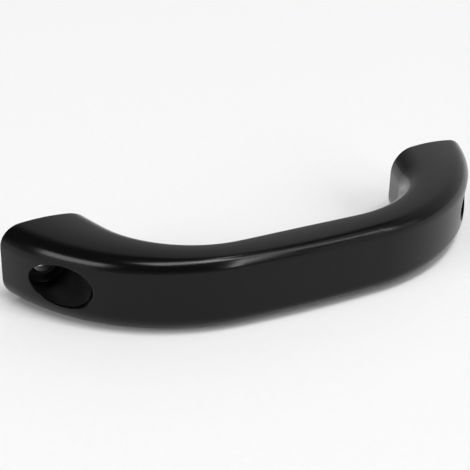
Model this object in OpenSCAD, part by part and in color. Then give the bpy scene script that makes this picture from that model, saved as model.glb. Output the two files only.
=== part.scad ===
// Roof grab handle: a one-piece moulded bow with a counterbored screw hole in each shoulder.
// The mounting plane is y = 0, the grip stands out towards -y, x runs along the handle and
// z across its width. The origin is on the mounting plane, midway between the screw holes.

/* [Handle] */
// Overall length along the mounting plane
overall_length = 200; // [180:1:230]
// Height of the front of the grip above the mounting plane
projection = 54; // [48:1:62]

/* [Grip] */
// Thickness of the grip at mid-length
grip_thickness = 15.5; // [12:0.5:18]
// Width of the grip at mid-length
grip_width = 27; // [24:0.5:30]
// Radius of the slow bow along the front of the grip
front_radius = 500; // [300:10:800]

/* [Shoulders] */
// Radius of the outer sweep from the grip down to the foot
shoulder_radius = 81; // [74:1:92]
// Radius of the inner bend behind the knuckles
bend_radius = 39.5; // [30:0.5:46]
// Lean of the inner leg away from the mounting plane's normal
leg_draft = 18.5; // [10:0.5:24]

/* [Feet] */
// Length of each foot on the mounting plane
foot_length = 35; // [32:0.5:40]
// Width of each foot on the mounting plane
foot_width = 31; // [28:0.5:35]

/* [Edges] */
// Edge radius of the grip on its front
grip_front_edge = 4.5; // [3:0.5:6]
// Edge radius of the grip on the finger side
grip_back_edge = 2.5; // [1.5:0.5:5]
// Edge radius of the foot on its outer end
foot_outer_edge = 8.5; // [6:0.5:11]
// Edge radius of the foot on the finger side
foot_inner_edge = 10; // [6:0.5:12]
// Crown of the two sides at the grip
grip_crown = 0.6; // [0.2:0.1:1.5]
// Crown of the two sides at the feet
foot_crown = 2; // [0.5:0.1:2.5]

/* [Screw holes] */
// Distance of each screw hole from the outer end of its foot
hole_inset = 14.5; // [13.5:0.5:16]
// Diameter of the counterbore for the screw head
counterbore_d = 16.6; // [14:0.2:18]
// Diameter of the clearance hole for the screw
screw_hole_d = 8.4; // [5:0.1:10]
// Thickness of the web under the screw head
web = 5; // [4:0.5:8]

/* [Hidden] */

// Steps of the body: sections on each half, and segments on each edge and crown
half_sections = 30;
edge_steps = 8;
crown_steps = 4;
// Cutting tools run this far past the faces that they leave
overrun = 5;
bore_facets = 96;
body_black = "#1b1b1c";

// The screw holes stand this far to each side of the middle
half_length = overall_length / 2;
hole_reach = half_length - hole_inset;

// Plan outline, worked with y = 0 at the front of the grip and y = projection at the wall
front_centre = [0, front_radius];
foot_end = [half_length, projection];

// The shoulder arc touches the front arc and passes through the foot's outer end
sweep_reach = front_radius - shoulder_radius;
end_offset = foot_end - front_centre;
end_distance = norm(end_offset);
sweep_along = (sweep_reach ^ 2 - shoulder_radius ^ 2 + end_distance ^ 2) / (2 * end_distance);
sweep_across = sqrt(sweep_reach ^ 2 - sweep_along ^ 2);
end_unit = end_offset / end_distance;
end_normal = [end_unit.y, -end_unit.x];
shoulder_centre = front_centre + end_unit * sweep_along + end_normal * sweep_across;
shoulder_start = atan2(shoulder_centre.x, front_radius - shoulder_centre.y);
shoulder_stop = atan2(foot_end.x - shoulder_centre.x, shoulder_centre.y - foot_end.y);

// The bend arc touches the flat back of the grip and the drafted inner leg
leg_angle = 90 - leg_draft;
leg_foot = [half_length - foot_length, projection];
bend_height = bend_radius * (1 - cos(leg_angle));
leg_rise = projection - grip_thickness - bend_height;
leg_run = leg_rise / tan(leg_angle);
back_length = leg_foot.x - leg_run - bend_radius * sin(leg_angle);
bend_centre = [back_length, grip_thickness + bend_radius];

// Lengths of the stretches of each outline, from mid-grip to the wall
function arc_length(radius, turn) = radius * turn * PI / 180;
front_run = arc_length(front_radius, shoulder_start);
shoulder_run = arc_length(shoulder_radius, shoulder_stop - shoulder_start);
bend_run = arc_length(bend_radius, leg_angle);
leg_length = leg_rise / sin(leg_angle);

// A point on an arc, by the direction in which the outline runs there
function on_arc(centre, radius, heading) = centre + radius * [sin(heading), -cos(heading)];

// A point on the outer outline at a share of its length
function outer_at(share) =
    let (run = share * (front_run + shoulder_run))
    run <= front_run
        ? on_arc(front_centre, front_radius, shoulder_start * run / front_run)
        : on_arc(
            shoulder_centre,
            shoulder_radius,
            shoulder_start + (shoulder_stop - shoulder_start) * (run - front_run) / shoulder_run
        );

// A point on the inner outline at a share of its length
function inner_at(share) =
    let (run = share * (back_length + bend_run + leg_length))
    run <= back_length
        ? [run, grip_thickness]
        : run <= back_length + bend_run
            ? on_arc(bend_centre, bend_radius, leg_angle * (run - back_length) / bend_run)
            : leg_foot - (back_length + bend_run + leg_length - run) * [cos(leg_angle), sin(leg_angle)];

// How far the section has changed from grip to foot: an even start and an even stop
function foot_share(share) = share ^ 2 * (3 - 2 * share);

function blend(grip_value, foot_value, share) = grip_value + (foot_value - grip_value) * share;

// Half of a section, as points across the thickness and up from mid-width:
// the outer edge, the crowned side and the inner edge
function half_section(depth, half_width, outer_edge, inner_edge, crown) =
    let (
        middle = depth / 2,
        crown_radius = depth ^ 2 / (8 * crown) + crown / 2,
        crown_base = half_width - crown_radius,
        outer_z = crown_base + sqrt((crown_radius - outer_edge) ^ 2 - (middle - outer_edge) ^ 2),
        inner_z = crown_base + sqrt((crown_radius - inner_edge) ^ 2 - (middle - inner_edge) ^ 2),
        outer_lean = atan2(middle - outer_edge, outer_z - crown_base),
        inner_lean = atan2(middle - inner_edge, inner_z - crown_base)
    )
    concat(
        [
            for (i = [0 : edge_steps])
                let (turn = blend(-90, -outer_lean, i / edge_steps))
                [outer_edge + outer_edge * sin(turn), outer_z + outer_edge * cos(turn)]
        ],
        [
            for (i = [1 : crown_steps - 1])
                let (turn = blend(-outer_lean, inner_lean, i / crown_steps))
                [middle + crown_radius * sin(turn), crown_base + crown_radius * cos(turn)]
        ],
        [
            for (i = [0 : edge_steps])
                let (turn = blend(inner_lean, 90, i / edge_steps))
                [depth - inner_edge + inner_edge * sin(turn), inner_z + inner_edge * cos(turn)]
        ]
    );

// One section of the body as points in space, on the plane that joins the two outlines
function section_ring(share, side) =
    let (
        outer = outer_at(share),
        inner = inner_at(share),
        depth = norm(inner - outer),
        across = (inner - outer) / depth,
        change = foot_share(share),
        upper = half_section(
            depth,
            blend(grip_width, foot_width, change) / 2,
            blend(grip_front_edge, foot_outer_edge, change),
            blend(grip_back_edge, foot_inner_edge, change),
            blend(grip_crown, foot_crown, change)
        ),
        last = len(upper) - 1,
        whole = concat(upper, [for (i = [0 : last]) [upper[last - i].x, -upper[last - i].y]])
    )
    [
        for (p = whole)
            let (plan = outer + across * p.x)
            [side * plan.x, plan.y - projection, p.y]
    ];

// A closed skin over a row of rings with equal numbers of points
module skin(rings) {
    count = len(rings[0]);
    last = len(rings) - 1;
    points = [for (ring = rings) each ring];
    sides = [
        for (i = [0 : last - 1], j = [0 : count - 1])
            let (
                next = (j + 1) % count,
                a = i * count + j,
                b = i * count + next,
                c = (i + 1) * count + next,
                d = (i + 1) * count + j
            )
            each [[a, b, c], [a, c, d]]
    ];
    start_cap = [for (j = [count - 1 : -1 : 0]) j];
    stop_cap = [for (j = [0 : count - 1]) last * count + j];
    polyhedron(points, concat([start_cap], sides, [stop_cap]));
}

// The solid bow: one section swept and changed from foot to foot
module bow() {
    left = [for (i = [half_sections : -1 : 1]) section_ring(i / half_sections, -1)];
    right = [for (i = [0 : half_sections]) section_ring(i / half_sections, 1)];
    skin(concat(left, right));
}

// Counterbore and clearance hole, square to the mounting plane
module screw_hole() {
    rotate([90, 0, 0]) {
        translate([0, 0, -overrun])
            cylinder(d = screw_hole_d, h = web + 2 * overrun, $fn = bore_facets);
        translate([0, 0, web])
            cylinder(d = counterbore_d, h = projection, $fn = bore_facets);
    }
}

module handle() {
    color(body_black)
        difference() {
            bow();
            for (side = [-1, 1])
                translate([side * hole_reach, 0, 0])
                    screw_hole();
        }
}

handle();
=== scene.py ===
# %% [markdown]
# # A roof grab handle in satin black
#
# The object is a bow-shaped grab handle for a vehicle's roof rail, moulded in one piece, with a
# screw hole at the bottom of a deep counterbore in each shoulder. The CAD part gives its place and
# its size. This lesson builds the same handle again as a fine mesh, gives it the surface of
# moulded plastic, and sets up the floor, the lamps and the camera of a product picture.

import math

import bmesh
import bpy
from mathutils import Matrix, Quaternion, Vector


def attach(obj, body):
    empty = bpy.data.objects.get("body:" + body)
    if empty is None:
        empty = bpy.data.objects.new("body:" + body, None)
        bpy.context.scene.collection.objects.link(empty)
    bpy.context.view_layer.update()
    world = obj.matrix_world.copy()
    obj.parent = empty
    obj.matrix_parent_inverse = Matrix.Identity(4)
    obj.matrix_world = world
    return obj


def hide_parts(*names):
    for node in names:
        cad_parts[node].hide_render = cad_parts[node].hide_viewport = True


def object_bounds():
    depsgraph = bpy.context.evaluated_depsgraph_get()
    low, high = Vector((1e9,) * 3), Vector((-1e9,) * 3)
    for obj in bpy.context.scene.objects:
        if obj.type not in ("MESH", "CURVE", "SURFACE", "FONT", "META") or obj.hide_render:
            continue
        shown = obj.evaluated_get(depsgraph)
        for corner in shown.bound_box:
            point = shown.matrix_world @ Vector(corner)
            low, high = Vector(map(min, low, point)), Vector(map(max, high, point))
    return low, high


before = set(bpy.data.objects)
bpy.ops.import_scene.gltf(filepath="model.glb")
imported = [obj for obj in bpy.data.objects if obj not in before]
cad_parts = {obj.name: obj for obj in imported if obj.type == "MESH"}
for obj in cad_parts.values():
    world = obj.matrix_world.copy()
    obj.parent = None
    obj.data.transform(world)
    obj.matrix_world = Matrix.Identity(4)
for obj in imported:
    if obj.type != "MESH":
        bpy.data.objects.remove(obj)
cad_low, cad_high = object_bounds()

MM = 0.001
print("CAD box in mm:", [round(v / MM, 2) for v in (*cad_low, *cad_high)])

# %% [markdown]
# ## The camera
#
# A camera can be placed by eye, but then every later comparison with the photograph is in doubt.
# Here its angles, distance and lens come first, measured from the handle's outline. The camera
# looks at one point from a direction given by azimuth and elevation, with a slight roll.

# %% Directions by two angles
def direction(azimuth, elevation):
    """The unit vector from the handle towards an azimuth and elevation in degrees; 0, 0 is in front."""
    turn = math.radians(azimuth)
    height = math.radians(elevation)
    flat = math.cos(height)
    return Vector((math.sin(turn) * flat, -math.cos(turn) * flat, math.sin(height)))


print("straight ahead is", [round(v, 2) for v in direction(0, 0)])

# %% Place the camera
PICTURE_SIZE = 470
FOCAL_LENGTH_IN_PIXELS = 1203.4
SENSOR_WIDTH = 36
NEAR_CLIP = 10 * MM
FAR_CLIP = 100
CAMERA_AZIMUTH = -26.963
CAMERA_ELEVATION = 28.549
CAMERA_ROLL = 1.590
CAMERA_DISTANCE = 460.29 * MM
CAMERA_AIM = Vector((-11.604, -10.873, -2.216)) * MM

camera_data = bpy.data.cameras.new("camera")
camera_data.sensor_width = SENSOR_WIDTH
camera_data.lens = FOCAL_LENGTH_IN_PIXELS / PICTURE_SIZE * SENSOR_WIDTH
camera_data.clip_start = NEAR_CLIP
camera_data.clip_end = FAR_CLIP
camera = bpy.data.objects.new("camera", camera_data)
towards_camera = direction(CAMERA_AZIMUTH, CAMERA_ELEVATION)
camera.location = CAMERA_AIM + towards_camera * CAMERA_DISTANCE
camera.rotation_mode = "QUATERNION"
level_view = (-towards_camera).to_track_quat("-Z", "Y")
camera.rotation_quaternion = level_view @ Quaternion((0, 0, 1), math.radians(CAMERA_ROLL))
bpy.context.scene.collection.objects.link(camera)
bpy.context.scene.camera = camera
bpy.context.scene.view_settings.view_transform = "Standard"
print("lens in mm:", round(camera_data.lens, 2))

# %% [markdown]
# ## The handle's sizes
#
# These are the CAD part's own sizes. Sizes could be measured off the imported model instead, but
# named ones let a finer mesh follow the very same curves. The handle lies on its side: x runs
# along it, y = 0 is the plane that it is screwed to, the grip stands out towards -y, and z goes
# across its width.

# %% Sizes of the handle
OVERALL_LENGTH = 200 * MM
PROJECTION = 54 * MM
GRIP_THICKNESS = 15.5 * MM
GRIP_WIDTH = 27 * MM
FRONT_RADIUS = 500 * MM
SHOULDER_RADIUS = 81 * MM
BEND_RADIUS = 39.5 * MM
LEG_DRAFT = math.radians(18.5)
FOOT_LENGTH = 35 * MM
FOOT_WIDTH = 31 * MM
GRIP_FRONT_EDGE = 4.5 * MM
GRIP_BACK_EDGE = 2.5 * MM
FOOT_OUTER_EDGE = 8.5 * MM
FOOT_INNER_EDGE = 10 * MM
GRIP_CROWN = 0.6 * MM
FOOT_CROWN = 2 * MM
HOLE_INSET = 14.5 * MM
COUNTERBORE_RADIUS = 8.3 * MM
SCREW_HOLE_RADIUS = 4.2 * MM
WEB = 5 * MM

half_length = OVERALL_LENGTH / 2
hole_reach = half_length - HOLE_INSET
print("distance between the screw holes in mm:", round(2 * hole_reach / MM, 2))

# %% [markdown]
# ## Two outlines in plan
#
# Seen from above, the bow lies between an outer and an inner outline. A free-hand curve would
# look much the same, but tangent arcs are how a toolmaker draws it, and they keep the reflections
# even. The outer outline is a slow arc along the front and a shoulder arc down to the foot. The
# inner one is a flat back, a bend and a straight leg. Here y = 0 is at the front of the grip.

# %% The outer outline's arcs
front_centre = Vector((0, FRONT_RADIUS))
foot_end = Vector((half_length, PROJECTION))
sweep_reach = FRONT_RADIUS - SHOULDER_RADIUS
end_offset = foot_end - front_centre
end_unit = end_offset.normalized()
end_distance = end_offset.length
sweep_along = (sweep_reach**2 - SHOULDER_RADIUS**2 + end_distance**2) / (2 * end_distance)
sweep_across = math.sqrt(sweep_reach**2 - sweep_along**2)
end_normal = Vector((end_unit.y, -end_unit.x))
shoulder_centre = front_centre + end_unit * sweep_along + end_normal * sweep_across
shoulder_start = math.atan2(shoulder_centre.x, FRONT_RADIUS - shoulder_centre.y)
shoulder_stop = math.atan2(foot_end.x - shoulder_centre.x, shoulder_centre.y - foot_end.y)
front_run = FRONT_RADIUS * shoulder_start
shoulder_run = SHOULDER_RADIUS * (shoulder_stop - shoulder_start)
outer_run = front_run + shoulder_run
print("half of the outer outline in mm:", round(outer_run / MM, 1))

# %% The inner outline's bend and leg
leg_angle = math.pi / 2 - LEG_DRAFT
leg_foot = Vector((half_length - FOOT_LENGTH, PROJECTION))
leg_rise = PROJECTION - GRIP_THICKNESS - BEND_RADIUS * (1 - math.cos(leg_angle))
back_length = leg_foot.x - leg_rise / math.tan(leg_angle) - BEND_RADIUS * math.sin(leg_angle)
bend_centre = Vector((back_length, GRIP_THICKNESS + BEND_RADIUS))
bend_run = BEND_RADIUS * leg_angle
leg_run = leg_rise / math.sin(leg_angle)
inner_run = back_length + bend_run + leg_run
print("half of the inner outline in mm:", round(inner_run / MM, 1))


# %% Points on the outlines
def on_arc(centre, radius, heading):
    """A point on an arc, by the direction in which the outline runs there."""
    return centre + radius * Vector((math.sin(heading), -math.cos(heading)))


def outer_at(share):
    """The point on the outer outline at a share of its length, from mid-grip to the foot."""
    run = share * outer_run
    if run <= front_run:
        return on_arc(front_centre, FRONT_RADIUS, run / FRONT_RADIUS)
    turn = (run - front_run) / SHOULDER_RADIUS
    return on_arc(shoulder_centre, SHOULDER_RADIUS, shoulder_start + turn)


def inner_at(share):
    """The point on the inner outline at a share of its length, from mid-grip to the foot."""
    run = share * inner_run
    if run <= back_length:
        return Vector((run, GRIP_THICKNESS))
    if run <= back_length + bend_run:
        return on_arc(bend_centre, BEND_RADIUS, (run - back_length) / BEND_RADIUS)
    leg = Vector((math.cos(leg_angle), math.sin(leg_angle)))
    return leg_foot - leg * (inner_run - run)


def span_at(share):
    """The outer point, the direction across to the inner point, and the thickness between them."""
    outer = outer_at(share)
    across = inner_at(share) - outer
    depth = across.length
    across.normalize()
    return outer, across, depth


print("mid-grip thickness in mm:", round(span_at(0)[2] / MM, 2))

# %% [markdown]
# ## The section
#
# Cut across, the grip is a rectangle with rounded edges and very slightly crowned sides, and the
# foot is the same with larger edges and more crown. Both come from one recipe of tangent arcs, so
# one can grow evenly into the other. A subdivided box would be quicker to make, but its edges
# would swell and shrink in between, and a shiny black surface shows that at once.

# %% Where the arcs of a section are centred
def crown_arc(depth, half_width, crown):
    """The crowned side's arc, as its radius and the height of its centre above mid-width."""
    radius = depth**2 / (8 * crown) + crown / 2
    return radius, half_width - radius


def edge_height(crown_radius, crown_base, middle, edge):
    """The height above mid-width at which the arc of an edge is centred, to touch the crown."""
    return crown_base + math.sqrt((crown_radius - edge) ** 2 - (middle - edge) ** 2)


grip_crown_radius = crown_arc(GRIP_THICKNESS, GRIP_WIDTH / 2, GRIP_CROWN)[0]
print("radius of the grip's crown in mm:", round(grip_crown_radius / MM, 1))

# %% Draw the upper half of a section
FACE_STEPS = 8
EDGE_STEPS = 22
CROWN_STEPS = 16


def arc_points(centre, radius, start, stop, steps):
    """Points along an arc across the section, by the angle from straight up."""
    turns = [start + (stop - start) * i / steps for i in range(steps + 1)]
    return [(centre[0] + radius * math.sin(t), centre[1] + radius * math.cos(t)) for t in turns]


def half_section(depth, half_width, outer_edge, inner_edge, crown):
    """The upper half of a section: points across the thickness and up from mid-width."""
    middle = depth / 2
    crown_radius, crown_base = crown_arc(depth, half_width, crown)
    outer_z = edge_height(crown_radius, crown_base, middle, outer_edge)
    inner_z = edge_height(crown_radius, crown_base, middle, inner_edge)
    outer_lean = math.atan2(middle - outer_edge, outer_z - crown_base)
    inner_lean = math.atan2(middle - inner_edge, inner_z - crown_base)
    quarter = math.pi / 2
    outer_face = [(0, outer_z * i / FACE_STEPS) for i in range(FACE_STEPS)]
    outer_arc = arc_points((outer_edge, outer_z), outer_edge, -quarter, -outer_lean, EDGE_STEPS)
    side = arc_points((middle, crown_base), crown_radius, -outer_lean, inner_lean, CROWN_STEPS)
    inner_corner = (depth - inner_edge, inner_z)
    inner_arc = arc_points(inner_corner, inner_edge, inner_lean, quarter, EDGE_STEPS)
    inner_face = [(depth, inner_z * (1 - i / FACE_STEPS)) for i in range(1, FACE_STEPS + 1)]
    return outer_face + outer_arc + side[1:] + inner_arc[1:] + inner_face


grip_half = half_section(
    GRIP_THICKNESS, GRIP_WIDTH / 2, GRIP_FRONT_EDGE, GRIP_BACK_EDGE, GRIP_CROWN
)
print("grip's full width in mm:", round(2 * max(z for p, z in grip_half) / MM, 2))


# %% Stand a section between the outlines
def blend(grip_value, foot_value, share):
    """A value between the grip's and the foot's."""
    return grip_value + (foot_value - grip_value) * share


def foot_share(share):
    """How far the section has changed from grip to foot, with an even start and stop."""
    return share**2 * (3 - 2 * share)


def section_ring(share, inset=0.0):
    """One closed section as points in space, in the plane that joins the two outlines."""
    outer, across, depth = span_at(share)
    change = foot_share(share)
    upper = half_section(
        depth - 2 * inset,
        blend(GRIP_WIDTH, FOOT_WIDTH, change) / 2 - inset,
        blend(GRIP_FRONT_EDGE, FOOT_OUTER_EDGE, change) - inset,
        blend(GRIP_BACK_EDGE, FOOT_INNER_EDGE, change) - inset,
        blend(GRIP_CROWN, FOOT_CROWN, change),
    )
    lower = [(p, -z) for p, z in reversed(upper[1:-1])]
    ring = []
    for p, z in upper + lower:
        plan = outer + across * (p + inset)
        ring.append(Vector((plan.x, plan.y - PROJECTION, z)))
    return ring


ring_size = len(section_ring(0))
print("points round each section:", ring_size)

# %% [markdown]
# ## Where the sections stand
#
# The sections stand at even steps from mid-grip to the foot. They could crowd where the bend is
# tight, but even steps keep the faces alike, and the shine then runs evenly over them. Round the
# screw hole a square of the skin is left open, to be filled with a patch that runs into the
# counterbore, so two stations stand exactly at that square's edges. The moulding's back edge is
# slightly rounded, by a few last sections that shrink as they come down to the mounting plane.

# %% Stations along half of the handle
PATCH_REACH = 11.4 * MM
GRIP_STEPS = 96
PATCH_STEPS = 42
END_STEPS = 9
BACK_EDGE = 0.2 * MM


def outer_share_at(x):
    """The share of the outer outline's length at which the shoulder arc is at x."""
    heading = math.asin((x - shoulder_centre.x) / SHOULDER_RADIUS)
    return (front_run + SHOULDER_RADIUS * (heading - shoulder_start)) / outer_run


def even_steps(start, stop, steps):
    """Values from start up to, but without, stop."""
    return [start + (stop - start) * i / steps for i in range(steps)]


patch_start = outer_share_at(hole_reach - PATCH_REACH)
patch_stop = outer_share_at(hole_reach + PATCH_REACH)
edge_share = BACK_EDGE / outer_run
stations = even_steps(0, patch_start, GRIP_STEPS)
stations += even_steps(patch_start, patch_stop, PATCH_STEPS)
stations += even_steps(patch_stop, 1 - edge_share, END_STEPS)
print("stations before the rounded back edge:", len(stations))

# %% Sections along half of the handle
BACK_EDGE_STEPS = 5

rings = [section_ring(share) for share in stations]
for i in range(BACK_EDGE_STEPS + 1):
    turn = math.pi / 2 * i / BACK_EDGE_STEPS
    share = 1 - edge_share * (1 - math.sin(turn))
    rings.append(section_ring(share, BACK_EDGE * (1 - math.cos(turn))))
print("sections on each half:", len(rings))

# %% [markdown]
# ## The counterbore's mouth
#
# The hole for the screw's head runs square to the mounting plane, but the shoulder slopes, so its
# rim climbs from the outer end to the grip. A Boolean cut makes that rim in one step, yet it
# leaves slivers that spoil the shine and a knife edge that no moulding has. Here spokes run from
# the open square in to the rim, each of their points lies on the outer face, and a small fillet
# turns each spoke down into the bore.

# %% Height of the outer face
SEARCH_ROUNDS = 8


def outer_face_y(x, z):
    """The height of the outer face at x and z, found by following the sections to that point."""
    share = outer_share_at(x)
    for _ in range(SEARCH_ROUNDS):
        outer, across, depth = span_at(share)
        change = foot_share(share)
        half_width = blend(GRIP_WIDTH, FOOT_WIDTH, change) / 2
        edge = blend(GRIP_FRONT_EDGE, FOOT_OUTER_EDGE, change)
        crown = blend(GRIP_CROWN, FOOT_CROWN, change)
        crown_radius, crown_base = crown_arc(depth, half_width, crown)
        flat_z = edge_height(crown_radius, crown_base, depth / 2, edge)
        over = max(abs(z) - flat_z, 0)
        dip = edge - math.sqrt(edge**2 - over**2)
        share = outer_share_at(x - across.x * dip)
    return outer.y + across.y * dip - PROJECTION


rim_heights = [outer_face_y(hole_reach + side * COUNTERBORE_RADIUS, 0) for side in (-1, 1)]
print("rim above the mounting plane in mm:", [round(-y / MM, 1) for y in rim_heights])

# %% Outline of the open square
PATCH_ROWS = 17


def open_square(first, last):
    """The points round the open square, from the outer end's middle round by the upper side."""
    across = range(1, PATCH_ROWS + 1)
    side = range(last - 1, first - 1, -1)
    outline = [rings[last][0]]
    outline += [rings[last][j] for j in across]
    outline += [rings[i][PATCH_ROWS] for i in side]
    outline += [rings[first][j] for j in range(PATCH_ROWS - 1, -PATCH_ROWS - 1, -1)]
    outline += [rings[i][-PATCH_ROWS] for i in range(first + 1, last + 1)]
    outline += [rings[last][-j] for j in range(PATCH_ROWS - 1, 0, -1)]
    return outline


square = open_square(GRIP_STEPS, GRIP_STEPS + PATCH_STEPS)
print("points round the open square:", len(square))

# %% Fillet of the mouth
LIP = 0.45 * MM
LIP_STEPS = 6
SLOPE_STEP = 0.05 * MM


def lip_arc(bearing):
    """The fillet along one spoke, as radius and height: from the outer face to the bore's wall."""
    reach = COUNTERBORE_RADIUS + LIP

    def height(radius):
        x = hole_reach + radius * math.cos(bearing)
        return outer_face_y(x, radius * math.sin(bearing))

    slope = (height(reach + SLOPE_STEP) - height(reach - SLOPE_STEP)) / (2 * SLOPE_STEP)
    start = math.atan2(-1, slope)
    radius = LIP * math.tan(-start / 2)
    reach = COUNTERBORE_RADIUS + radius
    centre_y = height(reach) + radius * math.sqrt(1 + slope**2)
    turns = [start + (-math.pi - start) * i / LIP_STEPS for i in range(LIP_STEPS + 1)]
    return [(reach + radius * math.cos(t), centre_y + radius * math.sin(t)) for t in turns]


lip_widths = [lip_arc(bearing)[0][0] - COUNTERBORE_RADIUS for bearing in (math.pi, 0)]
print("fillet's width in mm, grip side and outer end:", [round(w / MM, 2) for w in lip_widths])

# %% Down through the screw hole
WALL_STEPS = 14
FLOOR_FILLET = 0.4 * MM
FLOOR_FILLET_STEPS = 6
FLOOR_STEPS = 4
HOLE_CHAMFER = 0.1 * MM
HOLE_STEPS = 4


def hole_profile(wall_top):
    """One spoke from the bottom of the lip down to the back, as radius and height."""
    fillet_top = -WEB - FLOOR_FILLET
    profile = [
        (COUNTERBORE_RADIUS, wall_top + (fillet_top - wall_top) * i / WALL_STEPS)
        for i in range(1, WALL_STEPS + 1)
    ]
    for i in range(1, FLOOR_FILLET_STEPS + 1):
        turn = math.pi / 2 * i / FLOOR_FILLET_STEPS
        radius = COUNTERBORE_RADIUS - FLOOR_FILLET * (1 - math.cos(turn))
        profile.append((radius, fillet_top + FLOOR_FILLET * math.sin(turn)))
    floor_edge = COUNTERBORE_RADIUS - FLOOR_FILLET
    hole_edge = SCREW_HOLE_RADIUS + HOLE_CHAMFER
    for i in range(1, FLOOR_STEPS + 1):
        profile.append((floor_edge + (hole_edge - floor_edge) * i / FLOOR_STEPS, -WEB))
    top = -WEB + HOLE_CHAMFER
    bottom = -HOLE_CHAMFER
    for i in range(HOLE_STEPS + 1):
        profile.append((SCREW_HOLE_RADIUS, top + (bottom - top) * i / HOLE_STEPS))
    profile.append((hole_edge, 0))
    return profile


print("points down each spoke below its fillet:", len(hole_profile(rim_heights[0])))

# %% Rows of points from the open square to the mounting plane
SPOKE_STEPS = 7


def hole_rows(outline):
    """Closed rows of points from the open square's outline down to the mounting plane."""
    spokes = []
    for corner in outline:
        bearing = math.atan2(corner.z, corner.x - hole_reach)
        lip = lip_arc(bearing)
        far = math.hypot(corner.z, corner.x - hole_reach)
        spoke = [corner]
        for i in range(1, SPOKE_STEPS):
            radius = far + (lip[0][0] - far) * i / SPOKE_STEPS
            x = hole_reach + radius * math.cos(bearing)
            z = radius * math.sin(bearing)
            spoke.append(Vector((x, outer_face_y(x, z), z)))
        for radius, y in lip + hole_profile(lip[-1][1]):
            x = hole_reach + radius * math.cos(bearing)
            spoke.append(Vector((x, y, radius * math.sin(bearing))))
        spokes.append(spoke)
    return [list(row) for row in zip(*spokes)]


patch_rows = hole_rows(square)
print("rows through each screw hole:", len(patch_rows), "of", len(patch_rows[0]), "points")

# %% [markdown]
# ## The foot's flat face
#
# Each foot ends in a flat face that is pressed against the trim. One large face with a hole would
# do, but its shading is uncertain, so rows of points step evenly from the foot's outline in to the
# screw hole, and every face has four sides.

# %% Rows across the foot's flat face
FOOT_FACE_STEPS = 5

foot_shares = [i / FOOT_FACE_STEPS for i in range(1, FOOT_FACE_STEPS)]
foot_ends = list(zip(rings[-1], patch_rows[-1]))
foot_rows = [[a.lerp(b, share) for a, b in foot_ends] for share in foot_shares]
print("rows across each foot's face:", len(foot_rows), "of", len(foot_rows[0]), "points")

# %% [markdown]
# ## The mesh
#
# The rows are now joined by bands of four-sided faces: section to section along the bow, row to
# row through the screw hole, and across the flat foot face. A mirror modifier could make the
# second half, but the same loop builds it just as well, and leaves one plain mesh with nothing to
# apply. The two halves meet at mid-grip, where their points are welded.

# %% Join two rows by a band of faces
# The places of the two finishes in the mesh's list of materials
SKIN_FINISH = 0
CORED_FINISH = 1


def join_rows(shape, upper, lower, skip=(), finish=SKIN_FINISH):
    """Four-sided faces between two closed rows with equal numbers of points."""
    count = len(upper)
    for j in range(count):
        if j in skip:
            continue
        after = (j + 1) % count
        face = shape.faces.new((upper[j], lower[j], lower[after], upper[after]))
        face.material_index = finish


print("faces in each band along the bow:", ring_size)


# %% Build both halves of the handle
def add_half(shape, side):
    """Half of the handle, towards +x or -x."""

    def points(row):
        return [shape.verts.new((side * p.x, p.y, p.z)) for p in row]

    skin = [points(row) for row in rings]
    open_columns = set(range(PATCH_ROWS)) | set(range(ring_size - PATCH_ROWS, ring_size))
    for i in range(len(skin) - 1):
        inside = GRIP_STEPS <= i < GRIP_STEPS + PATCH_STEPS
        join_rows(shape, skin[i], skin[i + 1], open_columns if inside else ())
    hole = [points(row) for row in patch_rows]
    for i, (upper, lower) in enumerate(zip(hole, hole[1:])):
        finish = CORED_FINISH if i > SPOKE_STEPS + LIP_STEPS else SKIN_FINISH
        join_rows(shape, upper, lower, finish=finish)
    foot = [skin[-1], *[points(row) for row in foot_rows], hole[-1]]
    for upper, lower in zip(foot, foot[1:]):
        join_rows(shape, upper, lower)


shape = bmesh.new()
for side in (1, -1):
    add_half(shape, side)
print("points before the halves are welded:", len(shape.verts))

# %% Weld the halves
WELD = 0.001 * MM

# The skin's points inside the open square belong to no face
bmesh.ops.delete(shape, geom=[v for v in shape.verts if not v.link_faces], context="VERTS")
bmesh.ops.remove_doubles(shape, verts=shape.verts, dist=WELD)
bmesh.ops.recalc_face_normals(shape, faces=shape.faces)
for face in shape.faces:
    face.smooth = True
open_edges = sum(1 for edge in shape.edges if not edge.is_manifold)
handle_mesh = bpy.data.meshes.new("satin_grab_handle")
shape.to_mesh(handle_mesh)
shape.free()
print("faces:", len(handle_mesh.polygons), "open edges:", open_edges)

# %% Let the mesh stand for the CAD part
handle = bpy.data.objects.new("satin_grab_handle", handle_mesh)
bpy.context.scene.collection.objects.link(handle)
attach(handle, "root")
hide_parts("handle")
print("the handle stands at", list(handle.location))

# %% [markdown]
# ## The plastic
#
# The handle is moulded in ABS, a tough plastic that carbon colours black right through. The mould
# was blasted and then lightly polished, so from afar the skin has a soft sheen and no grain. Close
# up it has a fine blasted tooth, and broad shallow waves that the plastic takes on as it cools. A
# picture of scratches could be laid on the surface, but it would blur close up and need seams, so
# the tooth and the waves are noise patterns in the object's own space, sized in millimetres.

# %% Colours from sRGB to linear light
def linear(hex_colour):
    """An sRGB hex colour as linear red, green, blue and full alpha."""
    channels = [int(hex_colour[i : i + 2], 16) / 255 for i in (1, 3, 5)]
    # The curve of sRGB is a short straight stretch near black, and a power of 2.4 from there on
    curved = [c / 12.92 if c <= 0.04045 else ((c + 0.055) / 1.055) ** 2.4 for c in channels]
    return (*curved, 1)


print("middle grey in linear light:", round(linear("#808080")[0], 3))


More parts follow.
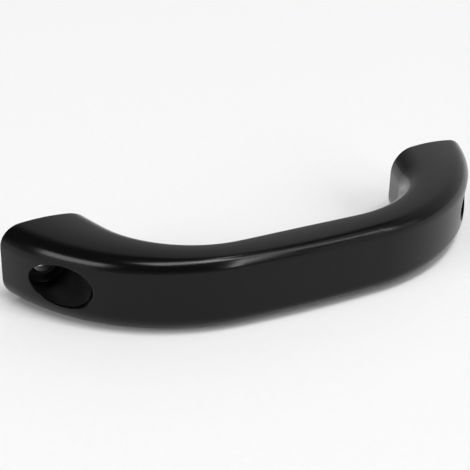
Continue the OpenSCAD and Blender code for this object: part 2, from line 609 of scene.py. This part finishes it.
# %% Helpers for materials
def add_node(tree, kind, inputs=None, **settings):
    """Adds a node with its settings; an input takes a plain value or the output that feeds it."""
    node = tree.nodes.new(kind)
    for name, value in settings.items():
        setattr(node, name, value)
    for name, source in (inputs or {}).items():
        if isinstance(source, bpy.types.NodeSocket):
            tree.links.new(source, node.inputs[name])
        else:
            node.inputs[name].default_value = source
    return node


def new_material(name):
    """A material with an empty node tree."""
    material = bpy.data.materials.new(name)
    material.use_nodes = True
    material.node_tree.nodes.clear()
    return material


def noise_scale(size):
    """The noise scale at which one blob of the pattern is about this size in metres."""
    return 1 / size


print("noise scale for blobs of 1 mm:", round(noise_scale(1 * MM)))

# %% Colour and sheen of the outer skin
# Carbon black swallows nearly all light; where the sheen is duller, a faint grey bloom shows
SATIN_BLACK = "#040404"
SATIN_BLOOM = "#080808"
# A polished mould gives about 0.1 and a blasted one about 0.4; this skin is nearer to polished
SATIN_ROUGHNESS = (0.16, 0.19)
SHEEN_PATCH = 9 * MM
SHEEN_DETAIL = 3
# A mix node has sockets for every kind of data; these are the places of its colour sockets
FIRST_COLOUR = 6
SECOND_COLOUR = 7
MIXED_COLOUR = 2

abs_plastic = new_material("moulded_abs_satin_black")
tree = abs_plastic.node_tree
place = add_node(tree, "ShaderNodeTexCoord")
patches = add_node(
    tree,
    "ShaderNodeTexNoise",
    {
        "Vector": place.outputs["Object"],
        "Scale": noise_scale(SHEEN_PATCH),
        "Detail": SHEEN_DETAIL,
    },
)
bloom = add_node(
    tree,
    "ShaderNodeMix",
    {
        "Factor": patches.outputs["Fac"],
        FIRST_COLOUR: linear(SATIN_BLACK),
        SECOND_COLOUR: linear(SATIN_BLOOM),
    },
    data_type="RGBA",
)
sheen = add_node(
    tree,
    "ShaderNodeMapRange",
    {
        "Value": patches.outputs["Fac"],
        "To Min": SATIN_ROUGHNESS[0],
        "To Max": SATIN_ROUGHNESS[1],
    },
)
print("patches of sheen about", round(SHEEN_PATCH / MM), "mm across")

# %% Waves and tooth of the outer skin
WAVE_SIZE = 22 * MM
WAVE_HEIGHT = 0.02 * MM
WAVE_DETAIL = 1
# The real tooth is about 0.05 mm across; it is drawn coarser, because it would not show at all
TOOTH_SIZE = 0.4 * MM
TOOTH_HEIGHT = 0.0015 * MM
TOOTH_DETAIL = 2

waves = add_node(
    tree,
    "ShaderNodeTexNoise",
    {
        "Vector": place.outputs["Object"],
        "Scale": noise_scale(WAVE_SIZE),
        "Detail": WAVE_DETAIL,
    },
)
wavy = add_node(
    tree, "ShaderNodeBump", {"Height": waves.outputs["Fac"], "Distance": WAVE_HEIGHT}
)
tooth = add_node(
    tree,
    "ShaderNodeTexNoise",
    {
        "Vector": place.outputs["Object"],
        "Scale": noise_scale(TOOTH_SIZE),
        "Detail": TOOTH_DETAIL,
    },
)
toothed = add_node(
    tree,
    "ShaderNodeBump",
    {
        "Height": tooth.outputs["Fac"],
        "Distance": TOOTH_HEIGHT,
        "Normal": wavy.outputs["Normal"],
    },
)
print("tooth drawn at", round(TOOTH_SIZE / MM, 2), "mm, waves at", round(WAVE_SIZE / MM, 1), "mm")

# %% Satin black moulded ABS
# Solid ABS has an IOR of about 1.53; the fine tooth takes some of its shine, so it is set lower
SATIN_IOR = 1.31

shader = add_node(
    tree,
    "ShaderNodeBsdfPrincipled",
    {
        "Base Color": bloom.outputs[MIXED_COLOUR],
        "Roughness": sheen.outputs["Result"],
        "IOR": SATIN_IOR,
        "Normal": toothed.outputs["Normal"],
    },
)
add_node(tree, "ShaderNodeOutputMaterial", {"Surface": shader.outputs["BSDF"]})
handle_mesh.materials.append(abs_plastic)
mirrored = ((SATIN_IOR - 1) / (SATIN_IOR + 1)) ** 2
print("light mirrored straight back:", round(mirrored, 3))

# %% [markdown]
# ## The bore's finish
#
# The counterbore is formed by a steel core that is drawn straight out of the part, so its walls
# are duller than the polished outer skin, and carry fine lines along the draw. It could share the
# outer finish, but then it would mirror the room as clearly as the skin does. The lines are the
# same kind of noise as the tooth, stretched along y, so that each blob becomes a thin scratch.
# Its colour is a lighter grey than the skin's black. That is painted light, which stands in for
# the light inside the bore.

# %% Draw lines of the bore
# Real draw lines are about 0.1 mm apart; they are drawn coarser, so that they show
DRAW_LINE_WIDTH = 0.5 * MM
DRAW_LINE_LENGTH = 14 * MM
DRAW_LINE_HEIGHT = 0.006 * MM
DRAW_LINE_DETAIL = 2

cored_plastic_painted_light = new_material("moulded_abs_cored_black_painted_light")
tree = cored_plastic_painted_light.node_tree
place = add_node(tree, "ShaderNodeTexCoord")
across_draw = noise_scale(DRAW_LINE_WIDTH)
stretched = add_node(
    tree,
    "ShaderNodeMapping",
    {
        "Vector": place.outputs["Object"],
        "Scale": (across_draw, noise_scale(DRAW_LINE_LENGTH), across_draw),
    },
)
lines = add_node(
    tree,
    "ShaderNodeTexNoise",
    {"Vector": stretched.outputs["Vector"], "Scale": 1, "Detail": DRAW_LINE_DETAIL},
)
drawn = add_node(
    tree, "ShaderNodeBump", {"Height": lines.outputs["Fac"], "Distance": DRAW_LINE_HEIGHT}
)
print("draw lines", round(DRAW_LINE_WIDTH / MM, 2), "mm wide")

# %% Dull black moulded ABS, with painted light in its colour
# The bore's greys are lighter than the skin's black: painted light that stands in for the light inside
# the bore. The streaks between the two greys along the draw lines are the bore's own.
CORED_BLACK_PAINTED_LIGHT = "#131314"
CORED_GREY_PAINTED_LIGHT = "#1c1c1d"
# A core is hardly polished, so the bore is about twice as rough as the skin
CORED_ROUGHNESS = (0.32, 0.4)

streaks_and_painted_light = add_node(
    tree,
    "ShaderNodeMix",
    {
        "Factor": lines.outputs["Fac"],
        FIRST_COLOUR: linear(CORED_BLACK_PAINTED_LIGHT),
        SECOND_COLOUR: linear(CORED_GREY_PAINTED_LIGHT),
    },
    data_type="RGBA",
)
dull = add_node(
    tree,
    "ShaderNodeMapRange",
    {
        "Value": lines.outputs["Fac"],
        "To Min": CORED_ROUGHNESS[0],
        "To Max": CORED_ROUGHNESS[1],
    },
)
shader = add_node(
    tree,
    "ShaderNodeBsdfPrincipled",
    {
        "Base Color": streaks_and_painted_light.outputs[MIXED_COLOUR],
        "Roughness": dull.outputs["Result"],
        "IOR": SATIN_IOR,
        "Normal": drawn.outputs["Normal"],
    },
)
add_node(tree, "ShaderNodeOutputMaterial", {"Surface": shader.outputs["BSDF"]})
handle_mesh.materials.append(cored_plastic_painted_light)
print("finishes on the handle:", [material.name for material in handle_mesh.materials])

# %% [markdown]
# ## The floor
#
# The handle lies on a sheet of matt white paper. A product picture could have a curved backdrop
# behind it, but the part is looked at from all sides, so one flat sheet is made so wide that it
# runs on to the horizon all round. Paper is not quite even: its fibres mottle it faintly.

# %% Lay the sheet under the handle
FLOOR_REACH = 20

floor_shape = bmesh.new()
bmesh.ops.create_grid(floor_shape, x_segments=1, y_segments=1, size=FLOOR_REACH)
floor_mesh = bpy.data.meshes.new("paper_floor")
floor_shape.to_mesh(floor_mesh)
floor_shape.free()
floor = bpy.data.objects.new("paper_floor", floor_mesh)
floor.location.z = cad_low.z
bpy.context.scene.collection.objects.link(floor)
print("floor at z in mm:", round(floor.location.z / MM, 2))

# %% Matt white paper
PAPER_SHADE = "#e4e4e4"
PAPER_WHITE = "#e8e8e8"
# A wood fibre in paper is about 3 mm long
FIBRE_SIZE = 3 * MM
FIBRE_DETAIL = 4
PAPER_ROUGHNESS = 0.9
PAPER_SHINE = 0.1

paper = new_material("matt_white_paper")
tree = paper.node_tree
place = add_node(tree, "ShaderNodeTexCoord")
fibres = add_node(
    tree,
    "ShaderNodeTexNoise",
    {
        "Vector": place.outputs["Object"],
        "Scale": noise_scale(FIBRE_SIZE),
        "Detail": FIBRE_DETAIL,
    },
)
mottled = add_node(
    tree,
    "ShaderNodeMix",
    {
        "Factor": fibres.outputs["Fac"],
        FIRST_COLOUR: linear(PAPER_SHADE),
        SECOND_COLOUR: linear(PAPER_WHITE),
    },
    data_type="RGBA",
)
shader = add_node(
    tree,
    "ShaderNodeBsdfPrincipled",
    {
        "Base Color": mottled.outputs[MIXED_COLOUR],
        "Roughness": PAPER_ROUGHNESS,
        "Specular IOR Level": PAPER_SHINE,
    },
)
add_node(tree, "ShaderNodeOutputMaterial", {"Surface": shader.outputs["BSDF"]})
floor_mesh.materials.append(paper)
print("share of light that the paper sends back:", round(linear(PAPER_WHITE)[0], 2))

# %% [markdown]
# ## Studio light
#
# A black shiny object is lit by what it reflects, so a single lamp would leave it a dark shape
# with one bright dot. Each streak along the front edge is the mirror image of one softbox, and the
# softboxes are placed by where the streaks run: a large one at the left end, a large one overhead,
# and narrow strips in front and to the right. Two faint low panels lift the dark bands below the
# streaks. All stand far off, so that the floor is lit evenly, and each is given by the angles that
# it fills, seen from the handle.

# %% One softbox
LAMP_DISTANCE = 8.0


def softbox(name, azimuth, elevation, wide, high, twist, radiance):
    """A rectangular lamp that faces the handle; gives the light that it lays on the floor."""
    lamp = bpy.data.lights.new(name, "AREA")
    lamp.shape = "RECTANGLE"
    lamp.size = 2 * LAMP_DISTANCE * math.tan(math.radians(wide) / 2)
    lamp.size_y = 2 * LAMP_DISTANCE * math.tan(math.radians(high) / 2)
    lamp.energy = radiance * lamp.size * lamp.size_y * math.pi
    box = bpy.data.objects.new(name, lamp)
    towards = direction(azimuth, elevation)
    box.location = towards * LAMP_DISTANCE
    box.rotation_mode = "QUATERNION"
    turned = Quaternion((0, 0, 1), math.radians(twist))
    box.rotation_quaternion = towards.to_track_quat("Z", "Y") @ turned
    box.visible_camera = False
    bpy.context.scene.collection.objects.link(box)
    solid_angle = math.radians(wide) * math.radians(high)
    return radiance * solid_angle * towards.z / math.pi


print("softboxes stand", LAMP_DISTANCE, "m away")

# %% All softboxes
light = softbox("softbox_left", azimuth=-76, elevation=27, wide=34, high=17, twist=7, radiance=6.5)
light += softbox("softbox_above", azimuth=-7, elevation=70, wide=37, high=14, twist=27, radiance=8.9)
light += softbox("strip_above", azimuth=63, elevation=76, wide=34, high=4, twist=0, radiance=8.2)
light += softbox("strip_front", azimuth=19, elevation=33, wide=6, high=43, twist=-21, radiance=11.4)
light += softbox("strip_right", azimuth=44, elevation=47, wide=4, high=56, twist=0, radiance=8.2)
light += softbox("softbox_right", azimuth=52, elevation=64, wide=21, high=13, twist=-33, radiance=1.6)
light += softbox("panel_left", azimuth=-76, elevation=9, wide=34, high=16, twist=0, radiance=0.8)
light += softbox("panel_right", azimuth=43, elevation=14, wide=34, high=22, twist=0, radiance=0.8)
print("light on the floor from the softboxes:", round(light, 2))

# %% [markdown]
# ## The surroundings
#
# Between the softboxes the handle reflects the room. One even grey would make the dark stretches
# beside the streaks too light, and black would hide the shoulders. So the room has a pale wall at
# the right and behind, which fades to a dark side at the left, a round dark patch of ceiling that
# leans to the right, and a grey band along the horizon wherever the wall is darker than that.

# %% Greys and places in the room
HORIZON_GREY = 0.36
PALE_GREY = 0.68
DARK_GREY = 0.08
# The middle of the pale wall, and the cosines to it at which the wall is dark and at its palest
PALE_SIDE = direction(120, 18)
PALE_SIDE_SPREAD = (0.16, 0.99)
# The middle of the dark ceiling, and the degrees from it where the dark starts and is full
CEILING_CENTRE = direction(80, 78)
CEILING_EDGE = (31, 21)
# The elevations in degrees between which the grey of the horizon gives way to the room
HORIZON_BAND = (5, 18)
print("room greys:", DARK_GREY, HORIZON_GREY, PALE_GREY)

# %% The pale wall
# Maths nodes have sockets without names of their own; these are their places
FIRST_VALUE = 0
SECOND_VALUE = 1

world = bpy.data.worlds.new("grey_room")
world.use_nodes = True
world.node_tree.nodes.clear()
tree = world.node_tree
sight = add_node(tree, "ShaderNodeTexCoord")
facing = add_node(
    tree,
    "ShaderNodeVectorMath",
    {FIRST_VALUE: sight.outputs["Generated"], SECOND_VALUE: PALE_SIDE},
    operation="DOT_PRODUCT",
)
wall = add_node(
    tree,
    "ShaderNodeMapRange",
    {
        "Value": facing.outputs["Value"],
        "From Min": PALE_SIDE_SPREAD[0],
        "From Max": PALE_SIDE_SPREAD[1],
        "To Min": DARK_GREY,
        "To Max": PALE_GREY,
    },
    interpolation_type="SMOOTHSTEP",
)
print("the wall is palest towards", [round(v, 2) for v in PALE_SIDE])

# %% The dark ceiling
upward = add_node(
    tree,
    "ShaderNodeVectorMath",
    {FIRST_VALUE: sight.outputs["Generated"], SECOND_VALUE: CEILING_CENTRE},
    operation="DOT_PRODUCT",
)
ceiling_start, ceiling_full = [math.cos(math.radians(edge)) for edge in CEILING_EDGE]
ceiling = add_node(
    tree,
    "ShaderNodeMapRange",
    {
        "Value": upward.outputs["Value"],
        "From Min": ceiling_start,
        "From Max": ceiling_full,
    },
    interpolation_type="SMOOTHSTEP",
)
room = add_node(
    tree,
    "ShaderNodeMix",
    {"Factor": ceiling.outputs["Result"], "A": wall.outputs["Result"], "B": DARK_GREY},
)
print("the dark ceiling fades in from a cosine of", round(ceiling_start, 2))

# %% The horizon, and the room as the world
band_start, band_stop = [math.sin(math.radians(elevation)) for elevation in HORIZON_BAND]
axes = add_node(tree, "ShaderNodeSeparateXYZ", {"Vector": sight.outputs["Generated"]})
above_horizon = add_node(
    tree,
    "ShaderNodeMapRange",
    {"Value": axes.outputs["Z"], "From Min": band_start, "From Max": band_stop},
    interpolation_type="SMOOTHSTEP",
)
horizon = add_node(
    tree,
    "ShaderNodeMath",
    {FIRST_VALUE: wall.outputs["Result"], SECOND_VALUE: HORIZON_GREY},
    operation="MAXIMUM",
)
grey = add_node(
    tree,
    "ShaderNodeMix",
    {
        "Factor": above_horizon.outputs["Result"],
        "A": horizon.outputs["Value"],
        "B": room.outputs["Result"],
    },
)
surround = add_node(tree, "ShaderNodeBackground", {"Color": grey.outputs["Result"]})
add_node(tree, "ShaderNodeOutputWorld", {"Surface": surround.outputs["Background"]})
bpy.context.scene.world = world
print("the horizon's band ends at a height of", round(band_stop, 2))
